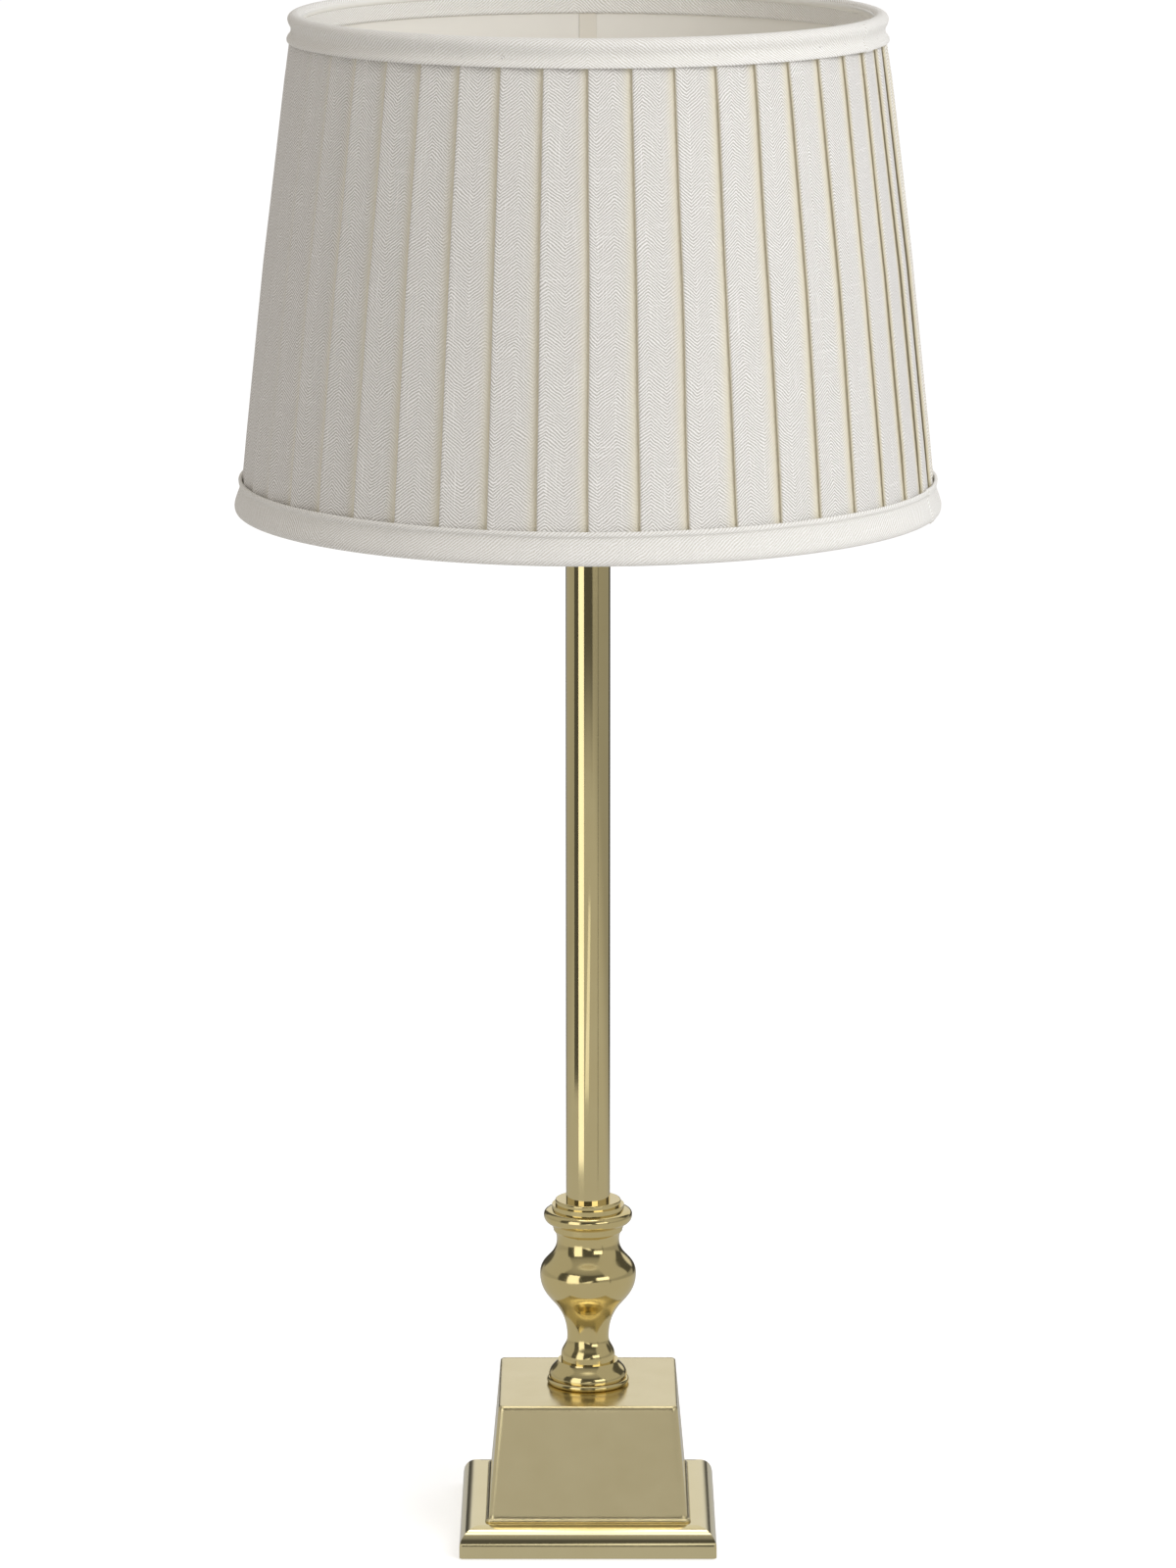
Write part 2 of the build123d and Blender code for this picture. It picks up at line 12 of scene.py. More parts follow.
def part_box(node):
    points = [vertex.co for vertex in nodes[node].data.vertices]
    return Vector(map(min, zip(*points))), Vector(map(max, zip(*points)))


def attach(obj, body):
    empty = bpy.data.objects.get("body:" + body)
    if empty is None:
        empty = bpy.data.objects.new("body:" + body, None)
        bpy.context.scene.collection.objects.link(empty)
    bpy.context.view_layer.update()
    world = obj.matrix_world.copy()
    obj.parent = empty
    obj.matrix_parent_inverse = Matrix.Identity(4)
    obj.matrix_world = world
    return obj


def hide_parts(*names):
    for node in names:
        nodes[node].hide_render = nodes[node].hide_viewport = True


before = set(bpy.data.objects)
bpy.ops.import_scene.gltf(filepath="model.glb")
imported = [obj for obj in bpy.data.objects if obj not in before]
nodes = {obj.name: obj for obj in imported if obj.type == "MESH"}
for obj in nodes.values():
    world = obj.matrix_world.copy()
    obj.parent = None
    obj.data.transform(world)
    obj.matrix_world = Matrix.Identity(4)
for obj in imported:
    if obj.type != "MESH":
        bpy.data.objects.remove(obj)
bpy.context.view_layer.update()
scene = bpy.context.scene
MM = 0.001


# ---- Camera ----
# A long lens, a little above the shade and tilted down, as in a catalogue picture: the base shows
# its top and the shade's lower rim is a shallow curve.
camera_place = (0, -2.87, 0.9121)
camera_tilt = math.radians(11.5)

view = bpy.data.cameras.new("view")
view.lens = 157.5
view.sensor_width = 36
view.clip_end = 60
camera = bpy.data.objects.new("camera", view)
camera.location = camera_place
camera.rotation_euler = (math.pi / 2 - camera_tilt, 0, 0)
scene.collection.objects.link(camera)
scene.camera = camera
scene.view_settings.view_transform = "Standard"


# ---- Surround ----
# Plain white for the camera. Everything matt gets a soft light, warm and dim from the left, cooler
# and brighter from the right. Only gloss sees the studio: mid-toned side walls, a dark gap behind
# the camera, a pale back wall and a bright ceiling.
soft_left = (0.46, 0.42, 0.37, 1.0)
soft_right = (0.80, 0.81, 0.84, 1.0)
low_walls = [  # bearing in degrees from the front, to the right, and the level under the horizon
    (-180, 0.07), (-151, 0.07), (-147, 0.42), (-72, 0.40), (-70, 0.08), (22, 0.08), (25, 0.36),
    (134, 0.34), (139, 0.07), (180, 0.07)]
high_walls = [  # and over the horizon
    (-180, 0.78), (-166, 0.78), (-162, 0.09), (-141, 0.09), (-137, 0.47), (-72, 0.47),
    (-69, 0.09), (42, 0.09), (47, 0.47), (109, 0.47), (113, 0.09), (138, 0.09), (143, 0.78),
    (180, 0.78)]
overhead = [  # elevation in degrees, and the least level there
    (30, 0.0), (46, 0.28), (66, 0.38), (70, 1.6), (75, 2.8)]
horizon_blur = (2.0, 11.0)  # degrees of elevation over which the low walls pass into the high ones


def linear(code):
    """Linear RGBA of an sRGB hex colour."""
    shares = [int(code[i:i + 2], 16) / 255 for i in (1, 3, 5)]
    return [s / 12.92 if s <= 0.04045 else ((s + 0.055) / 1.055) ** 2.4 for s in shares] + [1.0]


def grey(level):
    return (level, level, level, 1.0)


def rise_of(degrees):
    """Height of a direction on the unit sphere, from its elevation."""
    return math.sin(math.radians(degrees))


def add(tree, kind, inputs=None, stops=(), **settings):
    """Adds a node with its settings, a ramp's stops, and its inputs.

    Each input is a value or the output that feeds it.
    """
    node = tree.nodes.new(kind)
    for name, value in settings.items():
        setattr(node, name, value)
    if stops:
        elements = node.color_ramp.elements
        elements.remove(elements[1])
        elements[0].position, elements[0].color = stops[0]
        for place, colour in stops[1:]:
            elements.new(place).color = colour
    for key, value in (inputs or {}).items():
        socket = node.inputs[key]
        if isinstance(value, bpy.types.NodeSocket):
            tree.links.new(value, socket)
        else:
            socket.default_value = value
    return node


world = bpy.data.worlds.new("studio")
scene.world = world
world.use_nodes = True
world.cycles.sampling_method = "NONE"
tree = world.node_tree
tree.nodes.clear()
direction = add(tree, "ShaderNodeTexCoord").outputs["Generated"]
axes = add(tree, "ShaderNodeSeparateXYZ", {"Vector": direction})
front = add(tree, "ShaderNodeMath", {0: axes.outputs["Y"], 1: -1.0}, operation="MULTIPLY")
bearing = add(tree, "ShaderNodeMath", {
    0: axes.outputs["X"], 1: front.outputs[0]}, operation="ARCTAN2")
turn = add(tree, "ShaderNodeMapRange", {
    "Value": bearing.outputs[0], "From Min": -math.pi, "From Max": math.pi})
low, high = [
    add(tree, "ShaderNodeValToRGB", {"Fac": turn.outputs["Result"]},
        stops=[((degrees + 180) / 360, grey(level)) for degrees, level in walls])
    for walls in (low_walls, high_walls)]
rise = add(tree, "ShaderNodeMapRange", {
    "Value": axes.outputs["Z"], "From Min": rise_of(horizon_blur[0]),
    "From Max": rise_of(horizon_blur[1])}, interpolation_type="SMOOTHSTEP")
walls = add(tree, "ShaderNodeMix", {
    0: rise.outputs["Result"], 6: low.outputs["Color"], 7: high.outputs["Color"]},
    data_type="RGBA")
ceiling = add(tree, "ShaderNodeValToRGB", {"Fac": axes.outputs["Z"]},
              stops=[(rise_of(degrees), grey(level)) for degrees, level in overhead])
room = add(tree, "ShaderNodeMix", {
    0: 1.0, 6: walls.outputs[2], 7: ceiling.outputs["Color"]},
    data_type="RGBA", blend_type="LIGHTEN")
ray = add(tree, "ShaderNodeLightPath")
fill = add(tree, "ShaderNodeMapRange", {"Value": axes.outputs["X"], "From Min": -1.0})
tint = add(tree, "ShaderNodeMix", {
    0: fill.outputs["Result"], 6: soft_left, 7: soft_right}, data_type="RGBA")
soft = add(tree, "ShaderNodeBackground", {"Color": tint.outputs[2], "Strength": 1.0})
studio = add(tree, "ShaderNodeBackground", {"Color": room.outputs[2], "Strength": 1.0})
white = add(tree, "ShaderNodeBackground", {"Color": grey(1), "Strength": 1.0})
lit = add(tree, "ShaderNodeMixShader", {
    0: ray.outputs["Is Glossy Ray"], 1: soft.outputs[0], 2: studio.outputs[0]})
clear_view = add(tree, "ShaderNodeMath", {
    0: ray.outputs["Is Camera Ray"], 1: ray.outputs["Is Transmission Ray"]},
    operation="MAXIMUM")
surround = add(tree, "ShaderNodeMixShader", {
    0: clear_view.outputs[0], 1: lit.outputs[0], 2: white.outputs[0]})
add(tree, "ShaderNodeOutputWorld", {"Surface": surround.outputs[0]})


# ---- Floor and table ----
# A white floor for the camera and the soft light. Gloss sees a pale table in its place, which ends
# in the dark a little way behind the lamp and farther off in front of it.
floor_radius = 12
floor_height = -0.1 * MM   # just under the felt, so that the two don't share a plane
floor_tone = 0.8
floor_lift = 0.55          # the floor's own glow for the camera alone, which takes it to white
table_radius = 1.25
table_height = -0.2 * MM
table_middle = (0, -0.65, 0)
table_level = 0.5
table_fade = (0.75, 1.25)  # where the table starts to fade and is gone, in its radii
table_reach = 1.7          # the sheet's edge, past the fade
disc_sides = 64


def new_material(name, blank=False):
    """Material and its node tree. A blank one has no nodes yet."""
    material = bpy.data.materials.new(name)
    material.use_nodes = True
    if blank:
        material.node_tree.nodes.clear()
    return material, material.node_tree


def new_object(name, points, faces, material=None):
    """Smooth mesh object at the origin with its place in its points."""
    mesh = bpy.data.meshes.new(name)
    mesh.from_pydata([tuple(p) for p in points], [], faces)
    mesh.update()
    mesh.shade_smooth()
    if material:
        mesh.materials.append(material)
    made = bpy.data.objects.new(name, mesh)
    scene.collection.objects.link(made)
    return made


def around(radius, bearing, height):
    """Point at a radius and height, at a bearing in degrees from the front, to the right."""
    angle = math.radians(bearing)
    return (radius * math.sin(angle), -radius * math.cos(angle), height)


def disc(name, radius, height, material):
    """Flat round sheet about the Z axis."""
    rim = [around(radius, 360 * i / disc_sides, height) for i in range(disc_sides)]
    return new_object(name, rim, [tuple(range(disc_sides))], material)


def seen_by_gloss_alone(stage_object):
    stage_object.visible_camera = False
    stage_object.visible_diffuse = False
    stage_object.visible_transmission = False
    stage_object.visible_shadow = False


paper, tree = new_material("white_paper", blank=True)
ray = add(tree, "ShaderNodeLightPath")
matt = add(tree, "ShaderNodeBsdfDiffuse", {"Color": grey(floor_tone)})
lift = add(tree, "ShaderNodeMath", {
    0: ray.outputs["Is Camera Ray"], 1: floor_lift}, operation="MULTIPLY")
glow = add(tree, "ShaderNodeEmission", {"Color": grey(1), "Strength": lift.outputs[0]})
both = add(tree, "ShaderNodeAddShader", {0: matt.outputs[0], 1: glow.outputs[0]})
add(tree, "ShaderNodeOutputMaterial", {"Surface": both.outputs[0]})
floor = disc("floor", floor_radius, floor_height, paper)
floor.visible_glossy = False

table_sheen, tree = new_material("table_seen_in_gloss", blank=True)
place = add(tree, "ShaderNodeTexCoord").outputs["Object"]
distance = add(tree, "ShaderNodeVectorMath", {0: place, 1: table_middle}, operation="DISTANCE")
fade = add(tree, "ShaderNodeMapRange", {
    "Value": distance.outputs["Value"], "From Min": table_radius * table_fade[0],
    "From Max": table_radius * table_fade[1]}, interpolation_type="SMOOTHSTEP")
glow = add(tree, "ShaderNodeEmission", {"Color": grey(1), "Strength": table_level})
gone = add(tree, "ShaderNodeBsdfTransparent")
both = add(tree, "ShaderNodeMixShader", {
    0: fade.outputs["Result"], 1: glow.outputs[0], 2: gone.outputs[0]})
add(tree, "ShaderNodeOutputMaterial", {"Surface": both.outputs[0]})
table_seen = disc("table_in_gloss", table_radius * table_reach, table_height, table_sheen)
seen_by_gloss_alone(table_seen)


# ---- Panels and lamp ----
# Upright soft panels that give the brass its long highlights, and a black flag and a stand that
# darken the strips beside them. One large lamp at the right lights everything matt.
key_power = 23
key_size = 1.3
key_place = (1.45, -1.6, 1.75)
key_target = (0, 0, 0.45)
card_steps = 12
cards = [  # name, distance, lowest, highest, its edges' bearings at the foot and the top, and level
    ("left_softbox", 0.55, 0.02, 0.5, (-50, -21), (-50, -21), 1.45),
    ("left_flag", 0.56, 0.06, 0.5, (-75, -50), (-75, -50), 0.09),
    ("window", 0.54, 0.06, 0.16, (-16, 4), (3, 13), 1.0),
    ("right_panel", 1.15, 0.26, 0.62, (21, 54), (21, 54), 1.8),
    ("stand", 0.6, 0.0, 0.42, (52.2, 54.2), (52.2, 54.2), 0.04)]

for name, distance, low, high, foot_edges, top_edges, level in cards:
    card, tree = new_material(name, blank=True)
    glow = add(tree, "ShaderNodeEmission", {"Color": grey(1), "Strength": level})
    add(tree, "ShaderNodeOutputMaterial", {"Surface": glow.outputs[0]})
    points = [around(distance, start + (end - start) * i / card_steps, z)
              for z, (start, end) in ((low, foot_edges), (high, top_edges))
              for i in range(card_steps + 1)]
    panel = new_object(name, points, [
        (i, i + 1, i + card_steps + 2, i + card_steps + 1) for i in range(card_steps)], card)
    seen_by_gloss_alone(panel)

key = bpy.data.lights.new("key", "AREA")
key.shape = "SQUARE"
key.size = key_size
key.energy = key_power
key_light = bpy.data.objects.new("key", key)
key_light.location = key_place
aim = Vector(key_target) - Vector(key_place)
key_light.rotation_euler = aim.to_track_quat("-Z", "Y").to_euler()
key_light.visible_glossy = False
scene.collection.objects.link(key_light)


# ---- Square base ----
# Plinth and block are cast brass shells, filed square, buffed to a satin and lacquered. The eye
# gets a soft, slightly wavy mirror with fine buffing lines. The block's faces are worn a little
# towards their edges. Its lines are 0.3 mm apart, coarser than real buffing, so that they show.
def brass(name, tones, roughness, line_scale, line_height, wobble_scale, wobble_height, worn=0.0):
    """Lacquered brass with polishing lines and a slow wobble.

    Scales are in waves per metre and heights in metres, and the lines run along the axes that
    have small scales. Worn is how far in from their edges the wheel has drawn the faces down.
    """
    material, tree = new_material(name)
    shader = tree.nodes["Principled BSDF"]
    place = add(tree, "ShaderNodeTexCoord").outputs["Object"]
    stretched = add(tree, "ShaderNodeMapping", {"Vector": place, "Scale": line_scale})
    lines = add(tree, "ShaderNodeTexNoise", {
        "Vector": stretched.outputs["Vector"], "Scale": 1.0, "Detail": 3.0, "Roughness": 0.6})
    wobble = add(tree, "ShaderNodeTexNoise", {
        "Vector": place, "Scale": wobble_scale, "Detail": 1.0})
    slow = add(tree, "ShaderNodeBump", {
        "Height": wobble.outputs["Fac"], "Distance": wobble_height, "Strength": 1.0})
    if worn:
        eased = add(tree, "ShaderNodeBevel", {"Radius": worn}, samples=8)
        tree.links.new(eased.outputs["Normal"], slow.inputs["Normal"])
    fine = add(tree, "ShaderNodeBump", {
        "Height": lines.outputs["Fac"], "Distance": line_height, "Strength": 1.0,
        "Normal": slow.outputs["Normal"]})
    cloud = add(tree, "ShaderNodeTexNoise", {"Vector": place, "Scale": 60.0, "Detail": 4.0})
    tone = add(tree, "ShaderNodeMix", {
        0: cloud.outputs["Fac"], 6: linear(tones[0]), 7: linear(tones[1])}, data_type="RGBA")
    dull = add(tree, "ShaderNodeMapRange", {
        "Value": cloud.outputs["Fac"], "From Min": 0.3, "From Max": 0.7,
        "To Min": roughness * 0.85, "To Max": roughness * 1.15})
    shader.inputs["Metallic"].default_value = 1.0
    tree.links.new(tone.outputs[2], shader.inputs["Base Color"])
    tree.links.new(dull.outputs["Result"], shader.inputs["Roughness"])
    tree.links.new(fine.outputs["Normal"], shader.inputs["Normal"])
    return material


def dress(material, *names):
    """Gives CAD nodes a material in place of their plain one."""
    for name in names:
        nodes[name].data.materials[0] = material


satin_brass = brass("satin_brass", ("#ECDDAF", "#E6D6A5"), roughness=0.19,
                    line_scale=(300, 300, 3500), line_height=0.8e-6,
                    wobble_scale=14.0, wobble_height=25e-6, worn=2.5 * MM)
buffed_brass = brass("buffed_brass", ("#EDDFB0", "#E7D8A6"), roughness=0.11,
                     line_scale=(300, 300, 3500), line_height=0.3e-6,
                     wobble_scale=14.0, wobble_height=20e-6)
dress(satin_brass, "base_block")
dress(buffed_brass, "base_plinth")


# ---- Rod and fixings ----
# Zinc-plated steel rod, threaded from end to end, with its nut and washer, and four screws in the
# plinth. The plating is a dull grey with a fine grain.
rod_pitch, rod_depth = 1.0 * MM, 0.3 * MM


def heights(node):
    """Lowest and highest point of a CAD node."""
    low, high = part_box(node)
    return low.z, high.z


def plain_finish(name, colour, roughness, metallic=0.0, grain=0.0, grain_scale=800.0,
                 thread=None):
    """Plain finish with an even grain in its surface.

    Grain is its height in metres and grain_scale its waves per metre, so 800 is 1.25 mm from one
    to the next. Thread is a screw's (pitch, depth, low, high) about Z.
    """
    material, tree = new_material(name)
    shader = tree.nodes["Principled BSDF"]
    place = add(tree, "ShaderNodeTexCoord").outputs["Object"]
    specks = add(tree, "ShaderNodeTexNoise", {
        "Vector": place, "Scale": grain_scale, "Detail": 2.0})
    surface = add(tree, "ShaderNodeBump", {
        "Height": specks.outputs["Fac"], "Distance": grain, "Strength": 1.0})
    if thread:
        pitch_of_screw, depth, low, high = thread
        spot = add(tree, "ShaderNodeSeparateXYZ", {0: place}).outputs
        angle = add(tree, "ShaderNodeMath", {0: spot["Y"], 1: spot["X"]}, operation="ARCTAN2")
        phase = add(tree, "ShaderNodeMath", {
            0: spot["Z"], 1: -2 * math.pi / pitch_of_screw, 2: angle.outputs[0]},
            operation="MULTIPLY_ADD")
        crest = add(tree, "ShaderNodeMath", {0: phase.outputs[0]}, operation="SINE")
        over = add(tree, "ShaderNodeMath", {0: spot["Z"], 1: low}, operation="GREATER_THAN")
        under = add(tree, "ShaderNodeMath", {0: spot["Z"], 1: high}, operation="LESS_THAN")
        cut = add(tree, "ShaderNodeMath", {
            0: over.outputs[0], 1: under.outputs[0]}, operation="MULTIPLY")
        cut = add(tree, "ShaderNodeMath", {
            0: cut.outputs[0], 1: crest.outputs[0]}, operation="MULTIPLY")
        surface = add(tree, "ShaderNodeBump", {
            "Height": cut.outputs[0], "Distance": depth, "Strength": 1.0,
            "Normal": surface.outputs["Normal"]})
    tree.links.new(surface.outputs["Normal"], shader.inputs["Normal"])
    shader.inputs["Base Color"].default_value = linear(colour)
    shader.inputs["Roughness"].default_value = roughness
    shader.inputs["Metallic"].default_value = metallic
    return material


dress(plain_finish("rod_zinc", "#B8BAB6", 0.35, 1.0, 3e-6,
                   thread=(rod_pitch, rod_depth, *heights("threaded_rod"))), "threaded_rod")
dress(plain_finish("zinc_steel", "#BFC0BA", 0.35, 1.0, 3e-6, 1200.0),
      "rod_washer", "rod_nut", "base_screws")


# ---- Base weight, cover and felt ----
# A rough, dark iron casting fills the block. Brown pressed fibreboard closes the plinth under a
# short-napped green-black felt pad, and a moulded black bush lines the cable hole at the back.
dress(plain_finish("cast_iron", "#3A3937", 0.75, 0.6, 150e-6, 350.0), "base_weight")
dress(plain_finish("fibreboard", "#8A6B4C", 0.85, grain=60e-6, grain_scale=900.0), "base_cover")
dress(plain_finish("felt", "#1C241D", 1.0, grain=250e-6, grain_scale=1400.0), "felt_pad")
dress(plain_finish("black_plastic", "#131313", 0.4, grain=8e-6, grain_scale=1500.0), "cable_bush")


# ---- Baluster ----
# Foot, vase and collar, and the cap at the column's top, are turned from bar and polished to a
# mirror, with the faintest tool rings, 0.17 mm apart, and a ripple of about 17 mm.
turned_brass = brass("turned_brass", ("#E8D69C", "#E2CE92"), roughness=0.13,
                     line_scale=(20, 20, 6000), line_height=0.3e-6,
                     wobble_scale=60.0, wobble_height=8e-6)
dress(turned_brass, "baluster_foot", "baluster_vase", "baluster_collar", "column_cap")


# ---- Column ----
# Drawn brass tube, polished lengthwise, so that its highlights run unbroken from end to end with
# only a trace of lines along them, 0.4 mm apart.
drawn_brass = brass("drawn_brass", ("#E8D8A4", "#E2D09A"), roughness=0.075,
                    line_scale=(2500, 2500, 12), line_height=0.3e-6,
                    wobble_scale=30.0, wobble_height=6e-6)
dress(drawn_brass, "column_tube")


# ---- Lampholder ----
# Two spun brass shells with a plain satin finish. The skirt carries a shallow thread for the two
# rings. Inside are a glazed porcelain insert, a nickel-plated screw shell and a spring contact.
skirt_pitch, skirt_depth = 2.0 * MM, 0.25 * MM
lamp_pitch, lamp_depth = 3.6 * MM, 0.5 * MM  # the rolled thread of the screw shell and the bulb

skirt_low, skirt_high = heights("lampholder_shell")
socket_low, socket_high = heights("screw_socket")
dress(plain_finish("holder_brass", "#E5CF92", 0.28, 1.0, 1e-6),
      "check_nut", "lampholder_cap", "seat_ring", "clamp_ring", "terminal_screws",
      "centre_contact")
dress(plain_finish("holder_skirt", "#E5CF92", 0.28, 1.0, 1e-6, thread=(
    skirt_pitch, skirt_depth, skirt_low + 6 * MM, skirt_high - 3 * MM)), "lampholder_shell")
dress(plain_finish("porcelain", "#F0EEE6", 0.12, grain=1e-6, grain_scale=300.0),
      "lampholder_insert")
dress(plain_finish("socket_nickel", "#CFCBC2", 0.3, 1.0, 1e-6, thread=(
    lamp_pitch, lamp_depth, socket_low + 2 * MM, socket_high - 1 * MM)), "screw_socket")


# ---- Shade frame ----
# White-enamelled steel wire: two rings that the shade is bound to, and a pressed fitter ring on
# three arms that rests on the lampholder. The enamel is smooth and glossy.
enamel, tree = new_material("white_enamel")
shader = tree.nodes["Principled BSDF"]
shader.inputs["Base Color"].default_value = linear("#EFEDE6")
shader.inputs["Roughness"].default_value = 0.25
dress(enamel, "shade_fitter", "shade_bottom_ring", "shade_top_ring")


# ---- Lining ----
# Smooth white sheet behind the cloth, bonded into a ring with one lapped seam at the back. It has
# a low sheen, and the lap shows as a slightly darker band with a step at each side.
lining_lap = 8 * MM
lining_step = 0.3 * MM

lining, tree = new_material("lining")
shader = tree.nodes["Principled BSDF"]
place = add(tree, "ShaderNodeTexCoord").outputs["Object"]
spot = add(tree, "ShaderNodeSeparateXYZ", {0: place}).outputs
from_back = add(tree, "ShaderNodeMath", {0: spot["X"]}, operation="ABSOLUTE")
lapped = add(tree, "ShaderNodeMapRange", {
    "Value": from_back.outputs[0], "From Min": lining_lap / 2,
    "From Max": lining_lap / 2 - lining_step})
behind = add(tree, "ShaderNodeMath", {0: spot["Y"], 1: 0.0}, operation="GREATER_THAN")
lap = add(tree, "ShaderNodeMath", {
    0: lapped.outputs["Result"], 1: behind.outputs[0]}, operation="MULTIPLY")
lap_bump = add(tree, "ShaderNodeBump", {
    "Height": lap.outputs[0], "Distance": lining_step, "Strength": 1.0})
lap_tone = add(tree, "ShaderNodeMix", {
    0: lap.outputs[0], 6: linear("#F1EEE6"), 7: linear("#E9E4D8")}, data_type="RGBA")
tree.links.new(lap_tone.outputs[2], shader.inputs["Base Color"])
tree.links.new(lap_bump.outputs["Normal"], shader.inputs["Normal"])
shader.inputs["Roughness"].default_value = 0.45
dress(lining, "shade_lining")


# ---- Pleated cover ----
# One length of cream linen, ironed into knife pleats and stretched over the lining between the two
# bindings. Each pleat is the cloth folded three deep: it falls behind the next fold, turns back
# under it and comes round its edge again.
# The cloth is painted darker beside and under each fold, as painted shade, with a faint painted
# glow there.
pleats = 44
pleat_step = 2.0 * MM      # fall of one panel from its fold to the next
pleat_tuck = 0.4           # hidden part of each fold, as a share of the pitch
fold_turn = 0.85 * MM      # radius of the cloth round a fold's edge
tuck_turn = 0.15 * MM      # and where it turns back, out of sight
tuck_steps = 4
turn_steps = 8
panel_steps = 7
cover_rows = 26
pleat_wander = 0.7 * MM    # how far a fold strays aside
pleat_lift = 0.55 * MM     # and how far it stands open
wander_waves = 1.3         # bends of a stray fold over its height
pleat_seed = 3
seed_step = 7.31           # keeps each fold's noise apart from the next one's
lift_seed = 31.7           # and the noise that opens the folds apart from what strays them
weld_gap = 0.01 * MM
painted_fold_glow = 0.05           # painted glow in the folds, an emission in the fold colour that stands in for lit cloth
rib_pitch = 1.35           # across the cloth's diagonal ribs, in millimetres as all of the weave
rib_slant = 0.8            # how steeply they cross it
rib_turns = 7.5            # how far they run before they turn back on themselves
rib_height = 0.5           # against the single threads' height
weave_drift = (3.5, 0.9, 0.0)  # how far the weave strays along the cloth and up it
drift_waves = 0.12         # per millimetre, as the next three
thread_waves = 1.6
weft_slubs = (0.05, 1.3, 1.0)  # thick places, about 20 mm long in the weft
warp_slubs = (1.3, 0.03, 1.0)  # and about 30 mm in the warp
slub_share = (0.62, 0.78)  # noise under and over which a thread is plain and is a full slub
slub_height = 0.3
weave_depth = 0.12 * MM


def reach(node, height):
    """Radius of a CAD node's outermost points near a height."""
    near = [p.co for p in nodes[node].data.vertices if abs(p.co.z - height) < 0.5 * MM]
    return max(math.hypot(p.x, p.y) for p in near)


cover_low, cover_high = heights("shade_cover")
seam_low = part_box("bottom_binding")[1].z
seam_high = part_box("top_binding")[0].z
cover_middle = (seam_low + seam_high) / 2
radius_low = reach("shade_cover", cover_low)
radius_middle = reach("shade_cover", cover_middle)
radius_high = reach("shade_cover", cover_high)
pitch = 2 * math.pi * radius_middle / pleats


def pleat_path():
    """One fold from mid panel to mid panel: (share of a pitch, depth, lift, shade) along the cloth.

    Lift is how far a point goes with a fold that stands open, and shade is painted shade: 1 where
    the cloth is painted darkest, beside and under the fold.
    """
    turn = fold_turn / pitch
    under = -pleat_step - tuck_turn
    # Painted shade deepens along the panel's last part as it runs in under the next fold.
    path = [(share, -pleat_step * share, 0.0, shade) for share, shade in (
        (0.5, 0.0), (0.6, 0.0), (0.7, 0.04), (0.77, 0.14), (0.84, 0.4), (0.9, 0.72),
        (1 - turn, 1.0))]
    path += [(1 + pleat_tuck * i / tuck_steps, under - tuck_turn * i / tuck_steps, 0.0, 1.0)
             for i in range(tuck_steps + 1)]
    path += [(1 + pleat_tuck + turn * 0.3, under, 0.0, 1.0)]
    first, last = under + tuck_turn, -2 * fold_turn
    path += [(1 + pleat_tuck + (turn - pleat_tuck) * i / tuck_steps,
              first + (last - first) * i / tuck_steps, (i / tuck_steps) ** 2, 1.0)
             for i in range(tuck_steps)]
    for i in range(turn_steps + 1):
        angle = math.pi * i / turn_steps
        path.append((1 + turn - turn * math.sin(angle), -fold_turn - fold_turn * math.cos(angle),
                     1.0, min(1.0, max(0.0, (turn_steps - 1 - i) / 3))))
    for i in range(1, panel_steps + 1):
        share = i / panel_steps
        path.append((1 + turn + (0.5 - turn) * share, -pleat_step * 0.5 * share,
                     (1 - share) ** 2, 0.0))
    return path


path = pleat_path()
cloth_run = [0.0]
for start, end in zip(path, path[1:]):
    cloth_run.append(
        cloth_run[-1] + math.hypot((end[0] - start[0]) * pitch, end[1] - start[1]))
pleat_cloth = cloth_run[-1]
columns = len(path)
strip = new_object(
    "pleat_strip",
    [(step[0], step[1], row / cover_rows) for row in range(cover_rows + 1) for step in path],
    [(i + columns * row, i + 1 + columns * row, i + 1 + columns * (row + 1),
      i + columns * (row + 1))
     for row in range(cover_rows) for i in range(columns - 1)])
# The painted fold shade rides on the strip as an attribute that the cloth's material reads.
for name, values in [("lift", [step[2] for step in path]),
                     ("painted_fold_shade", [step[3] for step in path]),
                     ("cloth_run", cloth_run)]:
    attribute = strip.data.attributes.new(name, "FLOAT", "POINT")
    attribute.data.foreach_set("value", values * (cover_rows + 1))


